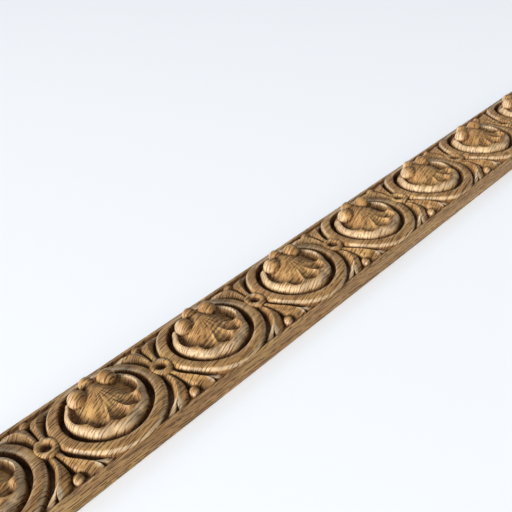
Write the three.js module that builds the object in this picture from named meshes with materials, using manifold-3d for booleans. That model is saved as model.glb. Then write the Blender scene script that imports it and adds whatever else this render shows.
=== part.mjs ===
// A length of carved oak moulding: a row of round frames, each with a shell-shaped rosette and
// three berries, joined by small pierced eyelets, with a leaf spray in each corner between them.
// The whole length is worked from one board. Millimetres, +Z up, X along the length.
// The origin is the middle of the flat back.
import * as THREE from 'three';
import { mergeVertices } from 'three/addons/utils/BufferGeometryUtils.js';
import Module from 'manifold-3d';

const wasm = await Module();
wasm.setup();

// The board.
const REPEATS = 8; // round frames along the length, cut square halfway between two frames
const WIDTH = 50;
const FILLET_HEIGHT = 7.9; // thickness at the plain border fillets
const FILLET_WIDTH = 1.7;
const GROUND_DROP = 2.1; // from the top of the fillet down to the sunk ground

// The round frames.
const FRAME_GAP = 6.8; // clear gap between two frames, which an eyelet bridges
const FRAME_RISE = 3.5; // from the top of the fillet up to the frame's top at the middle line
const CROWN_DROP = 3.3; // the carved face falls this much from the middle line to the sides
const CROWN_POWER = 5; // and it stays level until near the sides
const FRAME_INSET = 0.4; // from the side of the board in to the frame's outer edge
const FRAME_BAND = 5.1; // width of the frame, from its inner to its outer edge
const FRAME_BEVEL = 1.1; // slope along the frame's outer edge
const FRAME_STEPS = 24;
const FLOOR_THICKNESS = 4; // wood left below the recess inside the frame

// The eyelets between the frames.
const EYELET_OVERLAP = 1.4; // how far an eyelet runs into the frames on both sides
const EYELET_WALL = 2.5;
const EYELET_DEPTH = 3; // depth of the blind hole
const EYELET_RISE = 0.1; // from the top of the frame up to the top of the eyelet
const EYELET_STEPS = 8;

// The rosettes.
const GROOVE_WIDTH = 2.1; // clear gap between a rosette's foot and the inner edge of its frame
const LIP_RISE = 2; // from the top of the frame up to the crest of the rosette's lip
const TONGUE_RISE = 5.2; // from the top of the frame up to the head of the fan
const FLUTE_DEPTH = 2.8;
const FLANK_DROP = 2; // the fan falls this much lower towards its two sides
const FAN_STEPS = 24; // ridges and flutes fall on whole steps of this fan
const BERRY_RADIUS = 4.1;
const BERRY_RISE = 3.1; // from the top of the frame up to the centre of a side berry
const TOP_BERRY_RADIUS = 3.3;
const TOP_BERRY_RISE = 2.9;
const BERRY_COLUMNS = 8;
const BERRY_ROWS = 5;

// The rosette's proportions, as shares of the radius of its foot.
const FAN_HEAD = 0.42; // from the frame's centre to the head of the fan
const LIP_SHARE = 0.885; // the crest of the lip
const LIP_SQUASH = 0.89; // the lip is this much flatter on the near side
const BERRY_OUT = 0.42; // a side berry's place along the length, each way
const BERRY_ACROSS = 0.5; // and its place towards the far side
const TOP_BERRY_ACROSS = 0.74;
const FAN_SHARES = [1, 0.88, 0.68, 0.38, 0]; // from the crest of the lip in to the fan's head
const RIDGE_STEPS = [1, 3, 7]; // fan steps from the middle line out to each ridge
const FAN_FALL_POWER = 1.6; // the fan stays high near its head and falls faster further out
const FLUTE_POWER = 3.4; // a flute is deepest near the lip
const FLUTE_END = 0.96; // and has almost run out at the crest
const FLANK_START = 0.4; // the fan's sides begin at this angle from the middle line, in radians
const FLANK_FULL = 1.45; // and have their full drop from this one on

// The leaf sprays.
const SPRAY_GAP = 0.9; // sunk line between two lobes, and between a lobe and the frame
const LEAF_CREST = 0.63; // where a leaf is highest, as a share of the way out to the fillet
const LEAF_RISE = 1.1; // from the top of the frame up to the highest part of a leaf
const LEAF_ROOT_FALL = 2; // from there down to the leaf's root at the eyelet
const LEAF_END_FALL = 6.4; // and down to its end at the fillet
const LEAF_END_GAP = 1.2; // from the end of a leaf to the fillet
const BUD_WIDTH = 4;
const ROOT_BITE = 1; // how far a carved form is sunk into the wood that carries it

// Worked out from the sizes above.
const HALF_WIDTH = WIDTH / 2;
const GROUND_Z = FILLET_HEIGHT - GROUND_DROP;
const FRAME_Z = FILLET_HEIGHT + FRAME_RISE;
const FRAME_OUTER = HALF_WIDTH - FRAME_INSET;
const PITCH = 2 * FRAME_OUTER + FRAME_GAP; // from the centre of one frame to the next
const LENGTH = PITCH * REPEATS;
const FRAME_INNER = FRAME_OUTER - FRAME_BAND;
const FOOT_RADIUS = FRAME_INNER - GROOVE_WIDTH;
const EYELET_RADIUS = FRAME_GAP / 2 + EYELET_OVERLAP;
const GROUND_HALF = HALF_WIDTH - FILLET_WIDTH;

function solidOf(geometry) {
  const bare = geometry.clone();
  bare.deleteAttribute('normal');
  bare.deleteAttribute('uv');
  const merged = mergeVertices(bare, 1e-4);
  const mesh = new wasm.Mesh({
    numProp: 3,
    vertProperties: new Float32Array(merged.attributes.position.array),
    triVerts: new Uint32Array(merged.index.array),
  });
  mesh.merge();
  return new wasm.Manifold(mesh);
}

function joined(solids) {
  return solids.reduce((sum, next) => sum.add(next));
}

// A solid of revolution about +Z, from [radius, height] pairs.
function turned(profile, steps) {
  const points = profile.map(([radius, height]) => new THREE.Vector2(radius, height));
  return new THREE.LatheGeometry(points, steps).rotateX(Math.PI / 2);
}

// The board is one profile with sunk ground between two fillets, drawn out along the length.
function boardSolid() {
  const outline = [
    [-HALF_WIDTH, 0],
    [HALF_WIDTH, 0],
    [HALF_WIDTH, FILLET_HEIGHT],
    [GROUND_HALF, FILLET_HEIGHT],
    [GROUND_HALF, GROUND_Z],
    [-GROUND_HALF, GROUND_Z],
    [-GROUND_HALF, FILLET_HEIGHT],
    [-HALF_WIDTH, FILLET_HEIGHT],
  ];
  const profile = new THREE.Shape(outline.map(([y, z]) => new THREE.Vector2(y, z)));
  const board = new THREE.ExtrudeGeometry(profile, { depth: LENGTH, bevelEnabled: false });
  board.rotateX(Math.PI / 2);
  board.rotateZ(Math.PI / 2);
  board.translate(-LENGTH / 2, 0, 0);
  return solidOf(board);
}

// How far the carved face has fallen at a distance from the middle line.
function crownDrop(y) {
  return CROWN_DROP * Math.min(Math.abs(y) / HALF_WIDTH, 1) ** CROWN_POWER;
}

function crowned(geometry, above) {
  const place = geometry.attributes.position;
  for (let i = 0; i < place.count; i += 1) {
    if (place.getZ(i) > above) {
      place.setZ(i, place.getZ(i) - crownDrop(place.getY(i)));
    }
  }
  return geometry;
}

function frameSolid() {
  const frame = turned([
    [0, GROUND_Z - ROOT_BITE],
    [FRAME_OUTER, GROUND_Z - ROOT_BITE],
    [FRAME_OUTER, FRAME_Z - FRAME_BEVEL],
    [FRAME_OUTER - FRAME_BEVEL, FRAME_Z],
    [FRAME_INNER, FRAME_Z],
    [0, FRAME_Z],
  ], FRAME_STEPS);
  return solidOf(crowned(frame, GROUND_Z));
}

function recessSolid() {
  const recess = turned([
    [0, FLOOR_THICKNESS],
    [FRAME_INNER, FLOOR_THICKNESS],
    [FRAME_INNER, FRAME_Z + ROOT_BITE],
    [0, FRAME_Z + ROOT_BITE],
  ], FRAME_STEPS);
  return solidOf(recess);
}

function eyeletSolid() {
  const top = FRAME_Z + EYELET_RISE;
  const eyelet = turned([
    [0, GROUND_Z - ROOT_BITE],
    [EYELET_RADIUS, GROUND_Z - ROOT_BITE],
    [EYELET_RADIUS, top],
    [EYELET_RADIUS - EYELET_WALL, top],
    [EYELET_RADIUS - EYELET_WALL, top - EYELET_DEPTH],
    [0, top - EYELET_DEPTH],
  ], EYELET_STEPS);
  return solidOf(eyelet);
}

// The rosette is a fan of flutes that spreads from a head near the far side of the frame and
// turns up into a scalloped lip. This is the distance from the head to the crest of the lip.
function lipReach(angle) {
  const head = FAN_HEAD * FOOT_RADIUS;
  const crest = LIP_SHARE * FOOT_RADIUS;
  const across = Math.sin(angle);
  const down = Math.cos(angle);
  const squash = down > 0 ? LIP_SQUASH : 1;
  const a = across * across + (down / squash) ** 2;
  const b = (head * down) / squash ** 2;
  const c = (head / squash) ** 2 - crest * crest;
  return (b + Math.sqrt(Math.max(b * b - a * c, 0))) / a;
}

// 0 on a ridge and 1 in the middle of a flute. Behind the head of the fan there are no flutes.
function fluteShare(angle) {
  const step = Math.abs(angle) / ((2 * Math.PI) / FAN_STEPS);
  const edges = [-RIDGE_STEPS[0], ...RIDGE_STEPS];
  for (let i = 0; i + 1 < edges.length; i += 1) {
    if (step < edges[i + 1]) {
      const across = (2 * (step - edges[i])) / (edges[i + 1] - edges[i]) - 1;
      return 1 - across * across;
    }
  }
  return 0;
}

// Seen from the head of the fan, the surface falls along each ridge to the crest of the lip, and
// each flute is hollowed out between two ridges and turns up again at the lip.
function fanHeight(share, angle) {
  const fall = share ** FAN_FALL_POWER;
  const along = Math.sin(Math.PI * (share * FLUTE_END) ** FLUTE_POWER);
  const hollow = FLUTE_DEPTH * fluteShare(angle) * along;
  const side = THREE.MathUtils.smoothstep(Math.abs(angle), FLANK_START, FLANK_FULL);
  const flank = FLANK_DROP * side * Math.sin(Math.PI * share);
  return FRAME_Z + TONGUE_RISE * (1 - fall) + LIP_RISE * fall - hollow - flank;
}

function rosetteGeometry() {
  const root = FLOOR_THICKNESS - ROOT_BITE;
  const headY = FAN_HEAD * FOOT_RADIUS;
  const underside = [[0, 0], [1, 0], [1, 1]];
  const levels = [...underside, ...FAN_SHARES.map((share) => [share, 2])];
  const geometry = turned(levels, FAN_STEPS);
  const place = geometry.attributes.position;
  for (let i = 0; i < place.count; i += 1) {
    const level = i % levels.length;
    const angle = (2 * Math.PI * Math.floor(i / levels.length)) / FAN_STEPS;
    const signed = angle > Math.PI ? angle - 2 * Math.PI : angle;
    const reach = lipReach(signed);
    const lip = new THREE.Vector2(Math.sin(signed), -Math.cos(signed)).multiplyScalar(reach);
    lip.y += headY;
    if (level < underside.length) {
      const foot = lip.clone().setLength(levels[level][0] * FOOT_RADIUS);
      place.setXYZ(i, foot.x, foot.y, level < 2 ? root : FRAME_Z - FRAME_BEVEL);
    } else {
      const share = levels[level][0];
      const y = headY * (1 - share) + lip.y * share;
      place.setXYZ(i, lip.x * share, y, fanHeight(share, signed));
    }
  }
  return geometry;
}

function berrySolid(radius, x, y, z) {
  const berry = new THREE.SphereGeometry(radius, BERRY_COLUMNS, BERRY_ROWS);
  return solidOf(berry.rotateX(Math.PI / 2).translate(x, y, z));
}

function rosetteSolid() {
  const sideX = BERRY_OUT * FOOT_RADIUS;
  const sideY = BERRY_ACROSS * FOOT_RADIUS;
  const topY = TOP_BERRY_ACROSS * FOOT_RADIUS;
  return joined([
    solidOf(rosetteGeometry()),
    berrySolid(BERRY_RADIUS, -sideX, sideY, FRAME_Z + BERRY_RISE),
    berrySolid(BERRY_RADIUS, sideX, sideY, FRAME_Z + BERRY_RISE),
    berrySolid(TOP_BERRY_RADIUS, 0, topY, FRAME_Z + TOP_BERRY_RISE),
  ]);
}

// Half the free width of the corner between two frames, at a distance from the middle line.
function cornerHalf(across) {
  const frame = FRAME_OUTER + SPRAY_GAP;
  return PITCH / 2 - Math.sqrt(Math.max(frame * frame - across * across, 0));
}

// The top of a leaf rises from the eyelet to a crest and rolls over towards the fillet.
function leafTop(across) {
  const crest = LEAF_CREST * GROUND_HALF;
  const inner = across < crest;
  const run = inner ? crest - EYELET_RADIUS : GROUND_HALF - LEAF_END_GAP - crest;
  const fall = inner ? LEAF_ROOT_FALL : LEAF_END_FALL;
  return FRAME_Z + LEAF_RISE - fall * ((across - crest) / run) ** 2;
}

// A leaf lobe stands on the sunk ground. Its outline is a ring of pairs: the distance from the
// middle line of the board, and the distance from the spray's own axis.
function lobeSolid(outline) {
  const shape = new THREE.Shape(outline.map(([across, along]) => new THREE.Vector2(along, across)));
  const lobe = new THREE.ExtrudeGeometry(shape, { depth: 1, bevelEnabled: false });
  const place = lobe.attributes.position;
  for (let i = 0; i < place.count; i += 1) {
    const high = place.getZ(i) > 0.5 ? leafTop(place.getY(i)) : GROUND_Z - ROOT_BITE;
    place.setZ(i, high);
  }
  return solidOf(lobe);
}

// One quarter of the leafwork round an eyelet: a leaf with a notched end, and half the bud that
// it curls round. Shares run from the leaf's root to its end, and from the axis to the frame.
function sprayQuarter() {
  const start = EYELET_RADIUS * 0.7;
  const end = GROUND_HALF - LEAF_END_GAP;
  const bud = BUD_WIDTH / 2;
  const line = SPRAY_GAP / 2;
  const reach = (share) => start + (end - start) * share;
  const leafPoint = (share, width) => [reach(share), width * cornerHalf(reach(share))];
  const leaf = lobeSolid([
    leafPoint(0, 0),
    leafPoint(0, 1),
    leafPoint(0.35, 1),
    leafPoint(0.6, 1),
    leafPoint(0.8, 1),
    leafPoint(0.97, 1),
    leafPoint(1, 0.62),
    leafPoint(0.97, 0.5),
    leafPoint(0.84, 0.56),
    leafPoint(0.97, 0.45),
    leafPoint(0.99, 0.28),
    [reach(0.86), bud + line * 2],
    [reach(0.74), bud * 0.5 + line],
    [reach(0.6), line],
    [reach(0.3), line],
    [reach(0.25), 0],
  ]);
  const budHalf = lobeSolid([
    [reach(0.76), 0],
    [reach(0.82), bud * 0.75],
    [reach(0.91), bud],
    [reach(0.98), bud * 0.7],
    [reach(1), 0],
  ]);
  return joined([leaf, budHalf]);
}

function spraySolid() {
  const quarter = sprayQuarter();
  const half = quarter.add(quarter.mirror([1, 0, 0]));
  return half.add(half.mirror([0, 1, 0]));
}

function mouldingSolid() {
  let board = boardSolid();
  const frame = frameSolid();
  const recess = recessSolid();
  const rosette = rosetteSolid();
  const link = spraySolid().add(eyeletSolid());
  const frames = [];
  const recesses = [];
  const rosettes = [];
  const links = [];
  for (let i = 0; i < REPEATS; i += 1) {
    const x = (i + 0.5) * PITCH - LENGTH / 2;
    frames.push(frame.translate([x, 0, 0]));
    recesses.push(recess.translate([x, 0, 0]));
    rosettes.push(rosette.translate([x, 0, 0]));
  }
  for (let i = 0; i <= REPEATS; i += 1) {
    links.push(link.translate([i * PITCH - LENGTH / 2, 0, 0]));
  }
  const blank = new THREE.BoxGeometry(LENGTH, WIDTH, 4 * FRAME_Z).translate(0, 0, 2 * FRAME_Z);
  board = joined([board, ...links, ...frames]);
  for (const cut of recesses) {
    board = board.subtract(cut);
  }
  return joined([board, ...rosettes]).intersect(solidOf(blank));
}

function geometryOf(solid) {
  const mesh = solid.getMesh();
  const geometry = new THREE.BufferGeometry();
  geometry.setAttribute('position', new THREE.BufferAttribute(mesh.vertProperties, 3));
  geometry.setIndex(new THREE.BufferAttribute(mesh.triVerts, 1));
  geometry.computeVertexNormals();
  return geometry;
}

const oak = new THREE.MeshStandardMaterial({ color: 0xa07b52, roughness: 0.55, metalness: 0 });
const moulding = new THREE.Mesh(geometryOf(mouldingSolid()), oak);
moulding.name = 'moulding';

const part = new THREE.Group();
part.add(moulding);

export default part;
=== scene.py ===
"""A length of carved oak moulding, lying on a pale floor."""
import math
import bpy
import numpy as np
from mathutils import Matrix, Vector
from mathutils.bvhtree import BVHTree


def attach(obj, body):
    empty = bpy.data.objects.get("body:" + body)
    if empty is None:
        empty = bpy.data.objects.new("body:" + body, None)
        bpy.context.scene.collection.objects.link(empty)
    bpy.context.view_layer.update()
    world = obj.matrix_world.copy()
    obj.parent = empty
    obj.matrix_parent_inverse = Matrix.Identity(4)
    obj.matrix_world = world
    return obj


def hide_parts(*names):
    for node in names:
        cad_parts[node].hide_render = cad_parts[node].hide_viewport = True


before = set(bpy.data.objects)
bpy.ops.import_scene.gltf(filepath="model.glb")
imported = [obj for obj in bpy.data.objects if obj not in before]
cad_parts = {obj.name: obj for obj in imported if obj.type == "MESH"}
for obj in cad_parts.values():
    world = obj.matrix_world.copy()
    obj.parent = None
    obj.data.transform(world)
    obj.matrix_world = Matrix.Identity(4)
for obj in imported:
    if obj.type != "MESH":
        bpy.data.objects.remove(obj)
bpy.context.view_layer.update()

# The camera stands low beside the near end of the moulding and looks along it, with a
# normal lens, so that the row of rosettes runs up and away to the right.
VIEW_POINT = (-0.2236, -0.2053, 0.2061)
VIEW_RIGHT = Vector((0.70168748, -0.70029003, -0.13125756))
VIEW_UP = Vector((0.46491331, 0.31043104, 0.82914908))
VIEW_AHEAD = Vector((0.53989841, 0.64282692, -0.54339972))
LENS_LENGTH = 50
LENS_FRAME = 36

lens = bpy.data.cameras.new("view")
lens.lens = LENS_LENGTH
lens.sensor_width = LENS_FRAME
lens.clip_start = 0.01
camera = bpy.data.objects.new("view", lens)
facing = Matrix((VIEW_RIGHT, VIEW_UP, -VIEW_AHEAD)).transposed()
camera.matrix_world = Matrix.Translation(VIEW_POINT) @ facing.to_4x4()
bpy.context.scene.collection.objects.link(camera)
bpy.context.scene.camera = camera

# A smooth white table top, lit as in a studio: a large soft panel low on the left, a weaker
# one behind, and pale even light from all round.
FLOOR_COLOUR = (0.83, 0.87, 0.92)
FLOOR_HALF = 6.0
FLOOR_ROUGHNESS = 0.9
FLOOR_SHEEN = 0.1
SKY_COLOUR = (0.94, 0.965, 1)
SKY_STRENGTH = 0.41

floor_mesh = bpy.data.meshes.new("floor")
floor_mesh.from_pydata(
    [
        (-FLOOR_HALF, -FLOOR_HALF, 0),
        (FLOOR_HALF, -FLOOR_HALF, 0),
        (FLOOR_HALF, FLOOR_HALF, 0),
        (-FLOOR_HALF, FLOOR_HALF, 0),
    ],
    [],
    [(0, 1, 2, 3)],
)
floor_paint = bpy.data.materials.new("floor_paint")
floor_paint.use_nodes = True
floor_shader = floor_paint.node_tree.nodes["Principled BSDF"]
floor_shader.inputs["Base Color"].default_value = (*FLOOR_COLOUR, 1)
floor_shader.inputs["Roughness"].default_value = FLOOR_ROUGHNESS
floor_shader.inputs["Specular IOR Level"].default_value = FLOOR_SHEEN
floor_mesh.materials.append(floor_paint)
floor = bpy.data.objects.new("floor", floor_mesh)
bpy.context.scene.collection.objects.link(floor)


def soft_panel(name, place, size, power, colour):
    """A square light panel that hangs at a place and is turned to face the moulding."""
    light = bpy.data.lights.new(name, "AREA")
    light.shape = "SQUARE"
    light.size = size
    light.energy = power
    light.color = colour
    panel = bpy.data.objects.new(name, light)
    panel.location = place
    panel.rotation_euler = (-Vector(place)).to_track_quat("-Z", "Y").to_euler()
    bpy.context.scene.collection.objects.link(panel)


soft_panel("side_panel", (-6.0, -1.2, 2.0), size=3.0, power=900, colour=(1, 0.97, 0.93))
soft_panel("back_panel", (2.0, 6.0, 5.0), size=4.0, power=90, colour=(0.93, 0.96, 1))

sky = bpy.data.worlds.new("studio")
sky.use_nodes = True
sky_light = sky.node_tree.nodes["Background"]
sky_light.inputs["Color"].default_value = (*SKY_COLOUR, 1)
sky_light.inputs["Strength"].default_value = SKY_STRENGTH
bpy.context.scene.world = sky
bpy.context.scene.view_settings.view_transform = "Standard"

# The board is planed oak with square sides, a flat back and softened arrises. Its face is
# sunk between two narrow border fillets, and all the carving stands in that sunk strip.
# Sizes are in millimetres from here on.
REPEATS = 8
PITCH = 56.0
LENGTH = REPEATS * PITCH
HALF_WIDTH = 25.0
FILLET_HEIGHT = 7.9
FILLET_WIDTH = 1.7
GROUND_Z = 5.8
GROUND_HALF = HALF_WIDTH - FILLET_WIDTH
ARRIS_RADII = [0.3, 0.3, 0.55, 0.35, 0.4, 0.4, 0.35, 0.55]
ARRIS_STEPS = 3
POINT_SPACING = 1.6
END_WASTE = 7.0
BOARD_STATIONS = 133


def solid(name, points, faces):
    """A closed mesh object from points in millimetres, with its faces turned outwards."""
    points = np.asarray(points, float)
    mesh = bpy.data.meshes.new(name)
    mesh.from_pydata((points * 0.001).tolist(), [], faces)
    mesh.validate()
    made = bpy.data.objects.new(name, mesh)
    bpy.context.scene.collection.objects.link(made)
    mesh.calc_loop_triangles()
    corners = points[[tuple(t.vertices) for t in mesh.loop_triangles]]
    volume = np.einsum("ij,ij->i", corners[:, 0], np.cross(corners[:, 1], corners[:, 2]))
    if volume.sum() < 0:
        mesh.flip_normals()
    return made


def skin(name, rings):
    """A closed solid over a row of rings, each with as many points. Both ends are capped."""
    rings = np.asarray(rings, float)
    count, around = rings.shape[:2]
    points = [*rings.reshape(-1, 3), rings[0].mean(axis=0), rings[-1].mean(axis=0)]
    first, last = count * around, count * around + 1
    faces = []
    for k in range(count - 1):
        for i in range(around):
            j = (i + 1) % around
            low, high = k * around, (k + 1) * around
            faces.append((low + i, low + j, high + j, high + i))
    for i in range(around):
        j = (i + 1) % around
        faces.append((first, j, i))
        faces.append((last, (count - 1) * around + i, (count - 1) * around + j))
    return solid(name, points, faces)


def softened(corners, radii, steps):
    """A ring of corners in a plane, each cut back by its own radius and rounded over."""
    corners = np.asarray(corners, float)
    ring = []
    for i, radius in enumerate(radii):
        before = corners[i - 1] - corners[i]
        after = corners[(i + 1) % len(corners)] - corners[i]
        start = corners[i] + before / np.linalg.norm(before) * radius
        end = corners[i] + after / np.linalg.norm(after) * radius
        for t in np.linspace(0, 1, steps):
            ring.append((1 - t) ** 2 * start + 2 * t * (1 - t) * corners[i] + t * t * end)
    return np.array(ring)


def spaced(ring, step):
    """The same ring with more points along its long sides."""
    points = []
    for start, end in zip(ring, np.roll(ring, -1, axis=0)):
        count = max(1, round(float(np.linalg.norm(end - start)) / step))
        points += [start + (end - start) * k / count for k in range(count)]
    return np.array(points)


board_corners = [
    (-HALF_WIDTH, 0),
    (HALF_WIDTH, 0),
    (HALF_WIDTH, FILLET_HEIGHT),
    (GROUND_HALF, FILLET_HEIGHT),
    (GROUND_HALF, GROUND_Z),
    (-GROUND_HALF, GROUND_Z),
    (-GROUND_HALF, FILLET_HEIGHT),
    (-HALF_WIDTH, FILLET_HEIGHT),
]
board_ring = spaced(softened(board_corners, ARRIS_RADII, ARRIS_STEPS), POINT_SPACING)
rough_half = LENGTH / 2 + END_WASTE
stations = np.linspace(-rough_half, rough_half, BOARD_STATIONS)
board = skin("board", [[(x, y, z) for y, z in board_ring] for x in stations])

# Each round frame is a plain flat band left proud of the sunk ground, with its outer edge
# rounded over. Inside it the wood is cut away to a deep round recess with straight walls.
FRAME_Z = 11.4
FRAME_OUTER = 24.6
FRAME_INNER = 19.5
FLOOR_THICKNESS = 4.0
CROWN_DROP = 3.3
CROWN_POWER = 5
FRAME_AROUND = 144
SINK = 1.0
FRAME_SHAPE = [
    (FRAME_OUTER, -1.75), (24.52, -1.45), (24.3, -1.12), (23.75, -0.45), (23.5, -0.22),
    (23.2, -0.1), (22.4, 0.0), (20.6, 0.04), (19.0, 0.0), (14.0, 0.0),
]
RECESS_SHAPE = [
    (10.0, FLOOR_THICKNESS), (16.8, FLOOR_THICKNESS), (18.8, 4.05), (19.3, 4.25),
    (FRAME_INNER, 4.8), (FRAME_INNER, 7.5),
]
RECESS_LIP = [(FRAME_INNER, -0.75), (19.56, -0.42), (19.74, -0.15), (20.1, 0.06), (21.0, 1.2)]


def crown_drop(y):
    """How far the carved face has fallen at a distance from the middle line."""
    return CROWN_DROP * np.minimum(np.abs(y) / HALF_WIDTH, 1) ** CROWN_POWER


def circle(radius, height, around, follow):
    """A ring about the frame's centre, which falls with the crown by the given share."""
    angle = np.arange(around) * 2 * math.pi / around
    x, y = radius * np.sin(angle), -radius * np.cos(angle)
    return np.stack([x, y, height - follow * crown_drop(y)], axis=1)


frame_rings = [circle(FRAME_OUTER, GROUND_Z - SINK, FRAME_AROUND, 0)]
for radius, drop in FRAME_SHAPE:
    frame_rings.append(circle(radius, FRAME_Z + drop, FRAME_AROUND, 1))
round_frame = skin("round_frame", frame_rings)

recess_rings = [circle(radius, height, FRAME_AROUND, 0) for radius, height in RECESS_SHAPE]
for radius, drop in RECESS_LIP:
    recess_rings.append(circle(radius, FRAME_Z + drop, FRAME_AROUND, 1))
recess = skin("recess", recess_rings)

# A rosette stands in each recess. It is a fan of hollow flutes that spreads from a rounded
# head on the far side and turns up at a scalloped lip, with three berries behind the head.
FOOT_RADIUS = 17.4
FAN_HEAD = 0.42 * FOOT_RADIUS
LIP_CREST = 0.885 * FOOT_RADIUS
LIP_SQUASH = 0.89
TONGUE_LINE = [
    (0, 5.3), (0.1, 5.15), (0.25, 4.65), (0.4, 3.95), (0.55, 3.15), (0.7, 2.35), (0.82, 1.8),
    (0.9, 1.65), (1, 1.9),
]
FLANK_LINE = [
    (0, 5.3), (0.1, 4.95), (0.22, 4.1), (0.36, 2.75), (0.5, 1.65), (0.64, 0.95), (0.78, 0.7),
    (0.88, 0.95), (0.95, 1.5), (1, 2.0),
]
FLANK_TURN = (0.4, 1.45)
RIDGES = [math.radians(15), math.radians(42.5), math.radians(105)]
HEAD_GATHER = 0.36
GATHER_POWER = 1.5
FLUTE_DEPTH = 1.9
FLUTE_POWER = 2.6
FLUTE_START = (0.3, 0.7)
FLUTE_CRISP = (0.78, 1)
POCKET_DEPTH = 3.0
POCKET_SHARE = 0.9
POCKET_REACH = 0.08
POCKET_FADE = 0.55
POCKET_FADE_TURN = (1.0, 1.6)
BACK_TURN = (1.75, 2.25)
BACK_SHARE = (0.15, 0.85)
BACK_FALL = 0.8
LIP_LIFT = 0.35
LIP_LIFT_SHARE = (0.9, 1)
LIP_ROLL = 2.6
SCALLOP = 0.14
SCALLOP_END = (1.7, 1.9)
FOOT_SCALLOP = 0.7
FOOT_TAPER = 0.985
FOOT_CLEAR = 1.2
FAN_AROUND = 144
FAN_SHARES = [
    0.05, 0.1, 0.16, 0.22, 0.28, 0.34, 0.4, 0.46, 0.52, 0.58, 0.64, 0.69, 0.74, 0.79, 0.83,
    0.87, 0.905, 0.935, 0.962, 0.985, 1,
]
LIP_FACE = [0.1, 0.22, 0.38, 0.56, 0.76, 1]
BERRIES = [
    ((-7.6, 8.2, 14.4), 4.0),
    ((7.1, 9.2, 14.4), 4.0),
    ((-0.2, 13.1, 14.3), 3.2),
]
BERRY_FULLNESS = 1.02
BERRY_AROUND = 24
BERRY_ROWS = 13


def blend_in(value, low, high):
    """0 below the low value, 1 above the high one, and a smooth rise between them."""
    t = np.clip((value - low) / (high - low), 0, 1)
    return t * t * (3 - 2 * t)


def read_off(table, value):
    """A smooth curve through the table's points, read at the given values."""
    where, what = np.array(table, float).T
    slope = np.gradient(what, where)
    i = np.clip(np.searchsorted(where, value) - 1, 0, len(where) - 2)
    step = where[i + 1] - where[i]
    t = np.clip((value - where[i]) / step, 0, 1)
    a, b = 2 * t**3 - 3 * t**2 + 1, t**3 - 2 * t**2 + t
    c, d = -2 * t**3 + 3 * t**2, t**3 - t**2
    return a * what[i] + b * step * slope[i] + c * what[i + 1] + d * step * slope[i + 1]


def lip_reach(angle):
    """From the head of the fan to the crest of the lip, seen in plan."""
    across, down = np.sin(angle), np.cos(angle)
    squash = np.where(down > 0, LIP_SQUASH, 1)
    a = across**2 + (down / squash) ** 2
    b = FAN_HEAD * down / squash**2
    c = (FAN_HEAD / squash) ** 2 - LIP_CREST**2
    return (b + np.sqrt(np.maximum(b * b - a * c, 0))) / a


def flute_share(angle):
    """0 on a ridge and 1 in the middle of a flute, with none behind the head."""
    turn = np.abs(angle)
    share = np.zeros_like(turn)
    edges = [-RIDGES[0], *RIDGES]
    for low, high in zip(edges, edges[1:]):
        across = 2 * (turn - low) / (high - low) - 1
        share = np.where((turn >= low) & (turn < high), 1 - across**2, share)
    return share


def gathered(turn, share):
    """The angle of a fold at a share of its way out: they draw together at the head."""
    gather = HEAD_GATHER + (1 - HEAD_GATHER) * share**GATHER_POWER
    front = np.minimum(np.abs(turn), RIDGES[-1]) * gather
    behind = np.maximum(np.abs(turn) - RIDGES[-1], 0) / (math.pi - RIDGES[-1])
    return np.sign(turn) * (front + behind * (math.pi - RIDGES[-1] * gather))


def fan_height(share, turn):
    """The height of the fan above the top of the frame."""
    angle = np.abs(gathered(turn, share))
    flute = flute_share(turn)
    soft = flute**2 * (3 - 2 * flute)
    flute = soft + (flute - soft) * blend_in(share, *FLUTE_CRISP)
    pocket = POCKET_DEPTH * math.exp(-(((share - POCKET_SHARE) / POCKET_REACH) ** 2))
    pocket = pocket * (1 - POCKET_FADE * blend_in(angle, *POCKET_FADE_TURN))
    hollow = FLUTE_DEPTH * math.sin(math.pi * share**FLUTE_POWER) * blend_in(share, *FLUTE_START)
    hollow = flute * (hollow + pocket)
    tongue = read_off(TONGUE_LINE, np.full_like(turn, share))
    flank = read_off(FLANK_LINE, np.full_like(turn, share))
    ridge = tongue + (flank - tongue) * blend_in(angle, *FLANK_TURN)
    front = ridge + LIP_LIFT * flute * blend_in(share, *LIP_LIFT_SHARE) - hollow
    behind = TONGUE_LINE[0][1] * (1 - blend_in(share, *BACK_SHARE)) - BACK_FALL * share
    return front + (behind - front) * blend_in(angle, *BACK_TURN)


fan_angle = np.arange(FAN_AROUND) * 2 * math.pi / FAN_AROUND
fan_angle = np.where(fan_angle > math.pi, fan_angle - 2 * math.pi, fan_angle)
scalloped = 1 - blend_in(np.abs(fan_angle), *SCALLOP_END)
scallop = 1 - SCALLOP * (1 - flute_share(fan_angle)) * scalloped
fan_rings = []
for share in FAN_SHARES:
    angle = gathered(fan_angle, share)
    reach = lip_reach(angle) * scallop * share
    plan = [np.sin(angle) * reach, FAN_HEAD - np.cos(angle) * reach]
    fan_rings.append(np.column_stack([*plan, FRAME_Z + fan_height(share, fan_angle)]))
crest = fan_rings[-1][:, :2]
foot_way = crest / np.linalg.norm(crest, axis=1)[:, None]
foot = foot_way * (FOOT_RADIUS - FOOT_SCALLOP * (1 - scallop[:, None]) / SCALLOP)
crest_z = fan_rings[-1][:, 2]
face_fall = crest_z - (FRAME_Z - LIP_ROLL)
for share in LIP_FACE:
    out = math.sin(share * math.pi / 2)
    down = 1 - math.cos(share * math.pi / 2)
    plan = crest + (foot - crest) * out
    fan_rings.append(np.column_stack([plan, crest_z - face_fall * down]))
for height in (FLOOR_THICKNESS + FOOT_CLEAR, FLOOR_THICKNESS - SINK):
    fan_rings.append(np.column_stack([foot * FOOT_TAPER, np.full(FAN_AROUND, height)]))
rosette = skin("rosette", fan_rings)


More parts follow.
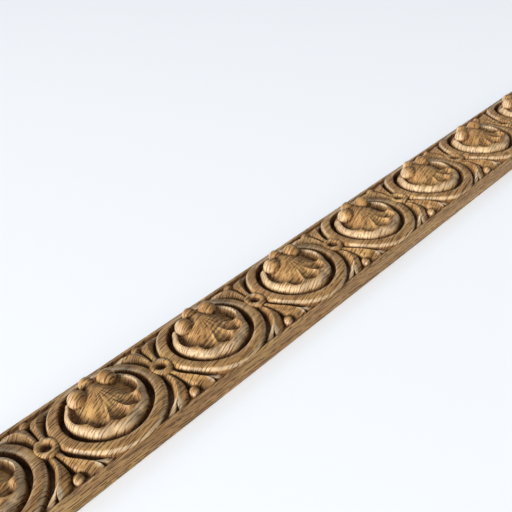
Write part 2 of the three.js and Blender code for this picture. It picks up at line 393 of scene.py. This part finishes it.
def berry(place, radius):
    """One ball, a little fuller across than it is tall."""
    rings = []
    for row in range(1, BERRY_ROWS):
        tilt = math.pi * row / BERRY_ROWS
        wide = radius * math.sin(tilt) * BERRY_FULLNESS
        ring = circle(wide, radius * math.cos(tilt), BERRY_AROUND, 0)
        rings.append(ring + np.array(place))
    return skin("berry", rings)


def join(keep, other, operation):
    """Joins another solid to the one that is kept, or cuts it away, and clears it up."""
    step = keep.modifiers.new(operation.lower(), "BOOLEAN")
    step.operation = operation
    step.solver = "MANIFOLD"
    step.object = other
    ready = keep.evaluated_get(bpy.context.evaluated_depsgraph_get())
    made = bpy.data.meshes.new_from_object(ready)
    keep.modifiers.remove(step)
    worn_and_highlight, keep.data = keep.data, made
    bpy.data.meshes.remove(worn_and_highlight)
    bpy.data.objects.remove(other)


for place, radius in BERRIES:
    join(rosette, berry(place, radius), "UNION")

# A small eyelet links two frames across the gap: a low oval boss, about as high as they
# are, with a blind round hole drilled in its middle and the rim of the hole softened.
EYELET_SHAPE = [
    (4.9, -6.6), (4.9, -1.5), (4.8, -0.75), (4.5, -0.15), (4.05, 0.2), (3.55, 0.32), (3.05, 0.22),
    (2.65, -0.1), (2.4, -0.6), (2.25, -1.4), (2.1, -3.4), (1.0, -3.7),
]
EYELET_AROUND = 40
EYELET_STRETCH = 1.1
STRETCH_FROM = 2.4
STRETCH_OVER = 1.5


def oval(radius, height):
    """A ring that is round at the hole and grows longer across the board further out."""
    ring = circle(radius, height, EYELET_AROUND, 0)
    share = min(max((radius - STRETCH_FROM) / STRETCH_OVER, 0), 1)
    stretch = 1 + (EYELET_STRETCH - 1) * share
    ring[:, 1] *= stretch
    return ring


link = skin("link", [oval(radius, FRAME_Z + drop) for radius, drop in EYELET_SHAPE])

# From each side of the eyelet two leaves spread round a small bud, one along each frame. A
# leaf widens towards the border, where a notch parts it into an inner and an outer lobe.
# LOBE_LINE is where the lobes meet, and the runs and edge lines go by distance from the eyelet.
LEAF_ROOT = 3.2
LEAF_END = 22.7
LEAF_CREST = 14.7
LEAF_RISE = 0.2
LEAF_ROOT_FALL = 1.9
LEAF_ROOT_RUN = 10.6
LEAF_END_FALL = 5.3
LEAF_OPEN = (4, 11)
LEAF_CUP = 0.35
LEAF_CUP_RUN = (7, 16)
LEAF_CUP_POWER = 1.2
LEAF_TILT = 0.9
LEAF_ROLL = 1.6
LEAF_ROLL_SHARE = 0.28
LEAF_FALL = 3.4
LEAF_FALL_POWER = 1.4
LOBE_FALL = 0.9
LOBE_FALL_RUN = (17.5, 21)
LOBE_STEP = 0.5
LOBE_STEP_RUN = (15, 19)
LOBE_STEP_SHARE = (0.48, 0.56)
NOTCH_DEPTH = 3.4
NOTCH_PLACE = 0.525
NOTCH_REACH = 0.05
TIP_CUT = 0.6
TIP_CUT_SHARE = (0.5, 0.56)
OUTER_ROUND = 0.5
OUTER_ROUND_SHARE = (0.75, 1)
INNER_ROUND = 1.2
INNER_ROUND_SHARE = 0.3
LEAF_EDGE_DROP = 0.7
LEAF_EDGE_WIDTH = 0.8
LEAF_TIP_SLOPE = 0.8
LEAF_LEAN = 0.8
LEAF_LEAN_RUN = 20
LEAF_LEAN_POWER = 1.5
LEAF_LEAST = 0.25
LEAF_ROWS = 30
LEAF_ROW_POWER = 0.9
LEAF_ACROSS = [
    0, 0.03, 0.08, 0.15, 0.24, 0.33, 0.41, 0.465, 0.49, 0.505, 0.52, 0.54, 0.57, 0.63, 0.71,
    0.8, 0.89, 0.96, 1,
]
INNER_EDGE = [
    (3.2, 0.12), (6, 0.2), (13, 0.3), (15.7, 0.6), (17.4, 1.3), (18.8, 2.1), (20.4, 3.3),
    (22.7, 5.1),
]
LOBE_LINE = [
    (3.2, 1.1), (6, 1.25), (10, 1.9), (14, 3.4), (16.2, 4.8), (18.5, 7.0), (19.5, 8.2),
    (20.6, 9.5), (22.7, 10.6),
]
OUTER_EDGE = [
    (3.2, 2.5), (6, 3.0), (10, 4.0), (14, 6.0), (16.2, 7.6), (18, 9.6), (19.5, 12.0),
    (20.6, 14.0), (21.6, 15.7), (22.7, 17),
]
BUD_CENTRE = (0.8, 20.0, 7.0)
BUD_SIZE = (2.2, 2.4, 2.7)
BUD_AROUND = 22
BUD_ROWS = 14


def slab(name, top, under):
    """A closed solid between two grids of points, with straight sides."""
    rows, columns = top.shape[:2]
    points = np.concatenate([top.reshape(-1, 3), under.reshape(-1, 3)])
    low = rows * columns
    faces = []
    for r in range(rows - 1):
        for c in range(columns - 1):
            a = r * columns + c
            quad = (a, a + 1, a + columns + 1, a + columns)
            faces.append(quad)
            faces.append(tuple(low + k for k in reversed(quad)))
    edge = [*range(columns)]
    edge += [r * columns + columns - 1 for r in range(1, rows)]
    edge += [(rows - 1) * columns + c for c in range(columns - 2, -1, -1)]
    edge += [r * columns for r in range(rows - 2, 0, -1)]
    for a, b in zip(edge, edge[1:] + edge[:1]):
        faces.append((b, a, low + a, low + b))
    return solid(name, points, faces)


def leaf(side, end):
    """One leaf, from its root at the eyelet out to the two lobes at the border."""
    across = np.array(LEAF_ACROSS)[None, :]
    along = np.linspace(0, 1, LEAF_ROWS)[:, None] ** LEAF_ROW_POWER
    cut_back = NOTCH_DEPTH * np.exp(-(((across - NOTCH_PLACE) / NOTCH_REACH) ** 2))
    cut_back = cut_back + TIP_CUT * blend_in(across, *TIP_CUT_SHARE)
    cut_back = cut_back + OUTER_ROUND * blend_in(across, *OUTER_ROUND_SHARE)
    cut_back = cut_back + INNER_ROUND * (1 - blend_in(across, 0, INNER_ROUND_SHARE))
    reach = LEAF_END - cut_back
    v = LEAF_ROOT + (reach - LEAF_ROOT) * along
    inner, middle, outer = (read_off(line, v) for line in (INNER_EDGE, LOBE_LINE, OUTER_EDGE))
    in_lobe = np.clip(across * 2, 0, 1) + 0 * v
    out_lobe = np.clip(across * 2 - 1, 0, 1) + 0 * v
    u = inner + (middle - inner) * in_lobe + (outer - middle) * out_lobe

    near = LEAF_ROOT_FALL * ((v - LEAF_CREST) / LEAF_ROOT_RUN) ** 2
    far = LEAF_END_FALL * ((v - LEAF_CREST) / (LEAF_END - LEAF_CREST)) ** 2
    height = FRAME_Z + LEAF_RISE - np.where(v < LEAF_CREST, near, far)
    cup = np.sin(math.pi * in_lobe) ** LEAF_CUP_POWER
    height -= LEAF_CUP * blend_in(v, *LEAF_CUP_RUN) * cup
    open_out = blend_in(v, *LEAF_OPEN)
    height -= LEAF_TILT * open_out * (1 - in_lobe)
    height -= LEAF_ROLL * open_out * np.clip(1 - in_lobe / LEAF_ROLL_SHARE, 0, 1) ** 2
    fall = LEAF_FALL + (LOBE_FALL - LEAF_FALL) * blend_in(v, *LOBE_FALL_RUN)
    height -= fall * open_out * out_lobe**LEAF_FALL_POWER
    height -= LOBE_STEP * blend_in(v, *LOBE_STEP_RUN) * blend_in(across, *LOBE_STEP_SHARE)
    from_edge = np.minimum(np.minimum(u - inner, outer - u), (reach - v) * LEAF_TIP_SLOPE)
    height -= LEAF_EDGE_DROP * (1 - np.clip(from_edge / LEAF_EDGE_WIDTH, 0, 1)) ** 2
    height = np.maximum(height, GROUND_Z + LEAF_LEAST)

    lean = LEAF_LEAN * (v / LEAF_LEAN_RUN) ** LEAF_LEAN_POWER
    top = np.stack([u * side + lean, v * end, height], axis=2)
    under = top.copy()
    under[..., 2] = GROUND_Z - SINK
    return slab("leaf", top, under)


def bud(end):
    """The round bud between two leaves, close to the border."""
    rings = []
    for row in range(1, BUD_ROWS):
        tilt = math.pi * row / BUD_ROWS
        ring = circle(math.sin(tilt), math.cos(tilt), BUD_AROUND, 0) * np.array(BUD_SIZE)
        rings.append((ring + np.array(BUD_CENTRE)) * np.array([1, end, 1]))
    return skin("bud", rings)


leaves = [leaf(side, end) for side in (-1, 1) for end in (-1, 1)]
buds = [bud(end) for end in (-1, 1)]
for piece in leaves + buds:
    join(link, piece, "UNION")

# The carver repeats one pattern along the board. Frames, recesses and rosettes come once
# in each repeat, and an eyelet with its leaves stands between two and is halved at both ends.
HAND_TURN = 0.014
HAND_SEED = 4
CUT_ACROSS = (-30.3, 30.3, 42)
CUT_UP = (-5.2, 40.2, 31)


def repeat_pattern():
    """A node tree that sets out copies of a carved form at even steps along the board."""
    tree = bpy.data.node_groups.new("repeat_along_board", "GeometryNodeTree")
    given_sockets = {
        "Form": "NodeSocketGeometry",
        "Count": "NodeSocketInt",
        "Pitch": "NodeSocketFloat",
        "First": "NodeSocketFloat",
        "Hand Turn": "NodeSocketFloat",
        "Seed": "NodeSocketInt",
        "Wood": "NodeSocketMaterial",
    }
    for name, kind in given_sockets.items():
        tree.interface.new_socket(name, in_out="INPUT", socket_type=kind)
    tree.interface.new_socket("Row", in_out="OUTPUT", socket_type="NodeSocketGeometry")
    add, wire = tree.nodes.new, tree.links.new
    given, made = add("NodeGroupInput"), add("NodeGroupOutput")

    start, step = add("ShaderNodeCombineXYZ"), add("ShaderNodeCombineXYZ")
    line = add("GeometryNodeMeshLine")
    wire(given.outputs["First"], start.inputs["X"])
    wire(given.outputs["Pitch"], step.inputs["X"])
    wire(given.outputs["Count"], line.inputs["Count"])
    wire(start.outputs[0], line.inputs["Start Location"])
    wire(step.outputs[0], line.inputs["Offset"])

    least, chance = add("ShaderNodeMath"), add("FunctionNodeRandomValue")
    spin = add("ShaderNodeCombineXYZ")
    least.operation = "MULTIPLY"
    least.inputs[1].default_value = -1
    wire(given.outputs["Hand Turn"], least.inputs[0])
    wire(least.outputs[0], chance.inputs[2])
    wire(given.outputs["Hand Turn"], chance.inputs[3])
    wire(given.outputs["Seed"], chance.inputs["Seed"])
    wire(chance.outputs[1], spin.inputs["Z"])

    copies, real = add("GeometryNodeInstanceOnPoints"), add("GeometryNodeRealizeInstances")
    wood = add("GeometryNodeSetMaterial")
    wire(line.outputs[0], copies.inputs["Points"])
    wire(given.outputs["Form"], copies.inputs["Instance"])
    wire(spin.outputs[0], copies.inputs["Rotation"])
    wire(copies.outputs[0], real.inputs[0])
    wire(real.outputs[0], wood.inputs["Geometry"])
    wire(given.outputs["Wood"], wood.inputs["Material"])
    wire(wood.outputs[0], made.inputs[0])
    return tree


pattern = repeat_pattern()
oak = bpy.data.materials.new("carved_oak")


def set_out(form, count, first, turn=0, seed=0):
    """Repeats a form along the board and turns the result into a plain mesh."""
    values = {
        "Count": count,
        "Pitch": PITCH / 1000,
        "First": first / 1000,
        "Hand Turn": turn,
        "Seed": seed,
        "Wood": oak,
    }
    step = form.modifiers.new("repeat", "NODES")
    step.node_group = pattern
    for item in pattern.interface.items_tree:
        if item.name in values:
            step[item.identifier] = values[item.name]
    form.update_tag()
    ready = form.evaluated_get(bpy.context.evaluated_depsgraph_get())
    made = bpy.data.meshes.new_from_object(ready)
    form.modifiers.remove(step)
    single, form.data = form.data, made
    bpy.data.meshes.remove(single)
    return form


first_frame = (PITCH - LENGTH) / 2
moulding = board
moulding.name = "carved_moulding"
join(moulding, set_out(link, REPEATS + 1, -LENGTH / 2), "UNION")
join(moulding, set_out(round_frame, REPEATS, first_frame), "UNION")
join(moulding, set_out(recess, REPEATS, first_frame), "DIFFERENCE")
join(moulding, set_out(rosette, REPEATS, first_frame, HAND_TURN, HAND_SEED), "UNION")
cut_y, cut_z = np.meshgrid(np.linspace(*CUT_ACROSS), np.linspace(*CUT_UP))
cuts = [np.stack([np.full_like(cut_y, end * LENGTH / 2), cut_y, cut_z], axis=2) for end in (-1, 1)]
join(moulding, slab("blank", *cuts), "INTERSECT")

# The wood is straight-grained oak with open pores, sanded lightly and rubbed with a dark
# oil that stays in the hollows, where painted shade darkens them further, while the raised
# edges are wiped back to the pale wood and painted paler as a highlight. The two looks for
# hollows and edges are in metres.
WOOD_PALE = (0.49, 0.302, 0.132, 1)
WOOD_MID = (0.365, 0.203, 0.074, 1)
WOOD_DEEP = (0.23, 0.112, 0.035, 1)
WOOD_OCHRE = (0.45, 0.285, 0.085, 1)
PORE_COLOUR = (0.05, 0.02, 0.007, 1)
# Dark oil left in the hollows, which also stands in as painted shade there.
HOLLOW_OIL_AND_SHADE_COLOUR = (0.15, 0.068, 0.027, 1)
# Pale wiped wood on raised parts, which also stands in as a painted highlight there.
PALE_WIPE_AND_HIGHLIGHT_COLOUR = (0.69, 0.545, 0.36, 1)
WOOD_STOPS = [(0.36, WOOD_DEEP), (0.5, WOOD_MID), (0.66, WOOD_PALE)]
OCHRE_SHARE = 0.4
WIPE_AND_HIGHLIGHT_EDGE, HOLLOW_WITHOUT_WIPE_HIGHLIGHT, WIPE_AND_HIGHLIGHT_SHARE = (0.1, 0.55), (0.5, 0.85), 0.85
DARK_HOLLOW, DARK_SHARE = (0.27, 0.8), 0.85
FACE_SLANT, FACE_SLOPE = 0.2, 0.16
SIDE_SLANT, SIDE_SLOPE = 0.03, 0.9
GRAIN_DRIFT = 5
END_FACE = (LENGTH / 2 - 0.12, LENGTH / 2 - 0.04)
SIDE_FACE = (HALF_WIDTH - 0.2, HALF_WIDTH - 0.05)
PORE_LENGTH = 0.26
PORE_ROWS, PORE_WIDTH, PORE_SHARE = 1.05, (0.1, 0.27), (0.42, 0.54)
FINE_ROWS, FINE_WIDTH, FINE_SHARE = 2.4, (0.06, 0.3), (0.4, 0.54)
PORE_DARK, PORE_WIPE_AND_HIGHLIGHT, FINE_DARK = 0.86, 0.5, 0.38
WAX_IOR, WAX_SHINE = 1.45, 0.35
SHARP_TURN = math.radians(42)
LOOKS = 14
LOOK_SPREAD = 1.02
HOLLOW_LOOK = {"start": 0.00012, "reach": 0.011, "seed": 3}
EDGE_LOOK = {"start": 0.00025, "reach": 0.0026, "seed": 5}
# Where the lip, berries and frame rim are rubbed pale, which also paints a highlight on them.
LIP_WEAR_AND_HIGHLIGHT = (LIP_CREST - 1.6, LIP_CREST - 0.2)
LIP_WEAR_AND_HIGHLIGHT_Z = (8, 11.5)
BERRY_WEAR_AND_HIGHLIGHT = (9.5, 11)
BERRY_WEAR_AND_HIGHLIGHT_Z = (12, 13.5)
BERRY_WEAR_AND_HIGHLIGHT_Y = 3
ROSETTE_WEAR_AND_HIGHLIGHT = (FOOT_RADIUS + 0.3, FOOT_RADIUS + 0.6)
ROSETTE_FACING = (-0.1, 0.55)
RIM_START, RIM_END = (23.2, 23.7), (24.3, 24.5)
RIM_FACING = (0.15, 0.5)
RIM_Y = (5, 8)
RIM_WEAR_AND_HIGHLIGHT = 1.1
# Where the frame's outer wall gets painted shade.
WALL_DROP = (1.4, 1.7)
WALL_NEAR = (0.15, 0.3)
WALL_SHADE = 0.66
FILLET_KEPT = (GROUND_HALF - 0.4, GROUND_HALF)
FILLET_SAVED = 0.65
RUBBED_AND_HIGHLIGHT_EDGE = 0.34


def clean_up(piece):
    """Smooth shading with a crisp line wherever two faces meet at a sharp turn."""
    mesh = piece.data
    mesh.polygons.foreach_set("use_smooth", [True] * len(mesh.polygons))
    normals = np.empty(len(mesh.polygons) * 3)
    mesh.polygons.foreach_get("normal", normals)
    normals = normals.reshape(-1, 3)
    sides = {}
    for face in mesh.polygons:
        for key in face.edge_keys:
            sides.setdefault(key, []).append(face.index)
    sharp = np.zeros(len(mesh.edges), bool)
    for edge in mesh.edges:
        meeting = sides[edge.key]
        if len(meeting) == 2:
            sharp[edge.index] = normals[meeting[0]] @ normals[meeting[1]] < math.cos(SHARP_TURN)
    mark = mesh.attributes.new("sharp_edge", "BOOLEAN", "EDGE")
    mark.data.foreach_set("value", sharp)


def open_share(piece, side, start, reach, seed):
    """The share of short looks from each point that meet no wood.

    They go out from the face on side 1, and into the wood on side -1.
    """
    mesh = piece.data
    places = [v.co.copy() for v in mesh.vertices]
    normals = [v.normal.copy() for v in mesh.vertices]
    mesh.calc_loop_triangles()
    tree = BVHTree.FromPolygons(places, [tuple(t.vertices) for t in mesh.loop_triangles])
    looks = np.random.default_rng(seed).normal(size=(LOOKS, 3))
    looks /= np.linalg.norm(looks, axis=1)[:, None]
    looks = [Vector(look) for look in looks]
    shares = []
    for place, normal in zip(places, normals):
        out = normal * side
        begin = place + out * start
        ways = [(look + out * LOOK_SPREAD).normalized() for look in looks]
        free = sum(tree.ray_cast(begin, way, reach)[0] is None for way in ways)
        shares.append(free / LOOKS)
    return np.array(shares)


def wear_highlight_and_shade_by_place(piece):
    """Where each point is rubbed pale with a painted highlight, kept from wear and the
    highlight as a fillet, or given painted shade as a wall.
    """
    count = len(piece.data.vertices) * 3
    points, normals = np.empty(count), np.empty(count)
    piece.data.vertices.foreach_get("co", points)
    piece.data.vertices.foreach_get("normal", normals)
    points, normals = points.reshape(-1, 3) * 1000, normals.reshape(-1, 3)
    along = (points[:, 0] + LENGTH / 2) % PITCH - PITCH / 2
    y, z = points[:, 1], points[:, 2]
    radius = np.hypot(along, y) + 1e-6
    outward = (normals[:, 0] * along + normals[:, 1] * y) / radius

    crest_radius = np.hypot(along, np.where(y < 0, y / LIP_SQUASH, y))
    lip = blend_in(crest_radius, *LIP_WEAR_AND_HIGHLIGHT) * blend_in(z, *LIP_WEAR_AND_HIGHLIGHT_Z)
    berries = blend_in(radius, *BERRY_WEAR_AND_HIGHLIGHT) * blend_in(z, *BERRY_WEAR_AND_HIGHLIGHT_Z) * (y > BERRY_WEAR_AND_HIGHLIGHT_Y)
    on_rosette = blend_in(outward, *ROSETTE_FACING) * (1 - blend_in(radius, *ROSETTE_WEAR_AND_HIGHLIGHT))
    rim = blend_in(radius, *RIM_START) * (1 - blend_in(radius, *RIM_END))
    rim = rim * blend_in(outward, *RIM_FACING) * blend_in(np.abs(y), *RIM_Y)
    # Raised parts are rubbed pale, which also paints a highlight on them.
    rubbed_and_highlight = np.maximum(on_rosette * np.maximum(lip, berries), RIM_WEAR_AND_HIGHLIGHT * rim)

    kept = blend_in(np.abs(y), *FILLET_KEPT)
    # The frame's outer wall below its top is marked for painted shade.
    below = blend_in(FRAME_Z - crown_drop(y) - z, *WALL_DROP)
    painted_wall_shade = below * (1 - blend_in(np.abs(radius - FRAME_OUTER), *WALL_NEAR))
    return rubbed_and_highlight, kept, painted_wall_shade


def paint_points(piece, name, values):
    """Stores one value on each point, for the finish to read."""
    layer = piece.data.attributes.new(name, "FLOAT", "POINT")
    layer.data.foreach_set("value", values)


class Finish:
    """One value in the finish of the wood. Sums on it add the nodes that work it out."""

    def __init__(self, tree, socket=None):
        self.tree = tree
        self.socket = socket

    def node(self, kind, settings=None, sockets=None, out=0):
        """Adds a node: its settings first, then the values or links of its sockets."""
        made = self.tree.nodes.new(kind)
        for name, value in (settings or {}).items():
            if name == "stops":
                ramp = made.color_ramp.elements
                while len(ramp) < len(value):
                    ramp.new(0.5)
                for stop, (place, colour) in zip(ramp, value):
                    stop.position = place
                    stop.color = colour
            else:
                setattr(made, name, value)
        for name, value in (sockets or {}).items():
            if isinstance(value, Finish):
                self.tree.links.new(value.socket, made.inputs[name])
            else:
                made.inputs[name].default_value = value
        return Finish(self.tree, made.outputs[out] if made.outputs else None)

    def sum(self, operation, *values):
        """One sum on the given values, such as an addition."""
        return self.node("ShaderNodeMath", {"operation": operation}, dict(enumerate(values)))

    def __add__(self, other):
        return self.sum("ADD", self, other)

    __radd__ = __add__

    def __mul__(self, other):
        return self.sum("MULTIPLY", self, other)

    __rmul__ = __mul__

    def __sub__(self, other):
        return self.sum("SUBTRACT", self, other)

    def __rsub__(self, other):
        return self.sum("SUBTRACT", other, self)

    def __abs__(self):
        return self.sum("ABSOLUTE", self)

    def reads(self, name):
        """The value that is stored on the points under a name."""
        return self.node("ShaderNodeAttribute", {"attribute_name": name}, out=2)

    def rise(self, low, high):
        """0 below the low value and 1 above the high one, with a smooth rise between."""
        settings = {"interpolation_type": "SMOOTHSTEP"}
        return self.node("ShaderNodeMapRange", settings, {0: self, 1: low, 2: high})

    def mixed(self, first, second):
        """A colour that goes from the first to the second as this value goes from 0 to 1."""
        settings = {"data_type": "RGBA", "clamp_factor": True}
        return self.node("ShaderNodeMix", settings, {0: self, 6: first, 7: second}, out=2)

    def noise(self, x, y, z, detail=2.0, roughness=0.5):
        """A soft random value that changes once or so over each unit of the three ways."""
        place = self.node("ShaderNodeCombineXYZ", None, {0: x, 1: y, 2: z})
        values = {"Vector": place, "Scale": 1.0, "Detail": detail, "Roughness": roughness}
        return self.node("ShaderNodeTexNoise", None, values)

    def rows(self, across):
        """The distance from the nearest of a run of unevenly spaced rows."""
        values = {"W": across, "Scale": 1.0}
        return self.node("ShaderNodeTexVoronoi", {"voronoi_dimensions": "1D"}, values)


oak.use_nodes = True
oak.node_tree.nodes.clear()
blank_finish = Finish(oak.node_tree)
position = blank_finish.node("ShaderNodeTexCoord", out=3)
metres = [blank_finish.node("ShaderNodeSeparateXYZ", None, {0: position}, out=k) for k in range(3)]
x, y, z = (way * 1000 for way in metres)
carved = 1 - abs(x).rise(*END_FACE)
hollow = (1 - blank_finish.reads("openness")) * carved
edge = blank_finish.reads("edge") * carved

# The grain runs along the board. On the face it lies a little askew, on the sides it is level,
# and it wanders slowly on both.
drift = x.noise(x * 0.018, y * 0.06, z * 0.06) - 0.5
face_grain = y - x * FACE_SLANT + z * FACE_SLOPE
side_grain = z * SIDE_SLOPE + x * SIDE_SLANT
grain = face_grain + (side_grain - face_grain) * abs(y).rise(*SIDE_FACE) + drift * GRAIN_DRIFT

# Pores are short dark strokes along the grain, in rows, with finer ones between them. Fibre,
# band and patch are the streaks, the broad stripes and the blotches of the wood's own colour.
pore_row = grain.rows(grain * PORE_ROWS)
pore_break = x.noise(x * PORE_LENGTH, grain * 1.3, z * 0.4, 1.0)
pores = (1 - pore_row.rise(*PORE_WIDTH)) * pore_break.rise(*PORE_SHARE)
fine_row = grain.rows(grain * FINE_ROWS + 7.3)
fine_break = x.noise(x * PORE_LENGTH + 40, grain * 2.6, z * 0.7, 1.0)
fine_pores = (1 - fine_row.rise(*FINE_WIDTH)) * fine_break.rise(*FINE_SHARE)
fibre = x.noise(x * 0.06, grain * 3.2, z * 2.4, 3.0, 0.65)
band = x.noise(x * 0.006, grain * 0.22, z * 0.15, 2.0)
patch = x.noise(x * 0.06 + 11, y * 0.1, z * 0.2, 2.0)

tone = fibre * 0.5 + band * 0.45 + patch * 0.3 - 0.12
wood = tone.node("ShaderNodeValToRGB", {"stops": WOOD_STOPS}, {0: tone})
wood = (patch.rise(0.5, 0.7) * OCHRE_SHARE).mixed(wood, WOOD_OCHRE)
# Raised edges turn pale where wiped, which is also a painted highlight.
wipe_and_highlight = edge.rise(*WIPE_AND_HIGHLIGHT_EDGE) * (1 - hollow.rise(*HOLLOW_WITHOUT_WIPE_HIGHLIGHT)) * WIPE_AND_HIGHLIGHT_SHARE
wood = wipe_and_highlight.mixed(wood, PALE_WIPE_AND_HIGHLIGHT_COLOUR)
# Hollows darken with the dark oil and with painted shade.
wood = (hollow.rise(*DARK_HOLLOW) * DARK_SHARE).mixed(wood, HOLLOW_OIL_AND_SHADE_COLOUR)
wood = (pores * (PORE_DARK - wipe_and_highlight * PORE_WIPE_AND_HIGHLIGHT)).mixed(wood, PORE_COLOUR)
wood = (fine_pores * FINE_DARK).mixed(wood, PORE_COLOUR)

roughness = 0.4 + fibre * 0.12 + pores * 0.25 + hollow.rise(0.3, 0.9) * 0.25 - wipe_and_highlight * 0.08
relief = fibre * 0.03 - pores * 0.13 - fine_pores * 0.05 + patch * 0.05
bump = relief.node("ShaderNodeBump", None, {"Strength": 1.0, "Distance": 0.001, "Height": relief})
shine = {"Roughness": roughness, "IOR": WAX_IOR, "Specular IOR Level": WAX_SHINE}
shader = bump.node(
    "ShaderNodeBsdfPrincipled", None, {"Base Color": wood, "Normal": bump, **shine}
)
shader.node("ShaderNodeOutputMaterial", None, {"Surface": shader})

moulding.data.materials.clear()
moulding.data.materials.append(oak)
moulding.data.polygons.foreach_set("material_index", [0] * len(moulding.data.polygons))
clean_up(moulding)
rubbed_and_highlight, kept, painted_wall_shade = wear_highlight_and_shade_by_place(moulding)
# The frame's outer wall gets painted shade by lowering its openness.
openness = np.minimum(open_share(moulding, 1, **HOLLOW_LOOK), 1 - WALL_SHADE * painted_wall_shade)
# Convex edges, less on the fillets, are wiped pale and given a painted highlight.
worn_and_highlight = (1 - open_share(moulding, -1, **EDGE_LOOK)) * (1 - FILLET_SAVED * kept)
paint_points(moulding, "openness", openness)
paint_points(moulding, "edge", np.maximum(worn_and_highlight, RUBBED_AND_HIGHLIGHT_EDGE * rubbed_and_highlight))

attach(moulding, "root")
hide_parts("moulding")
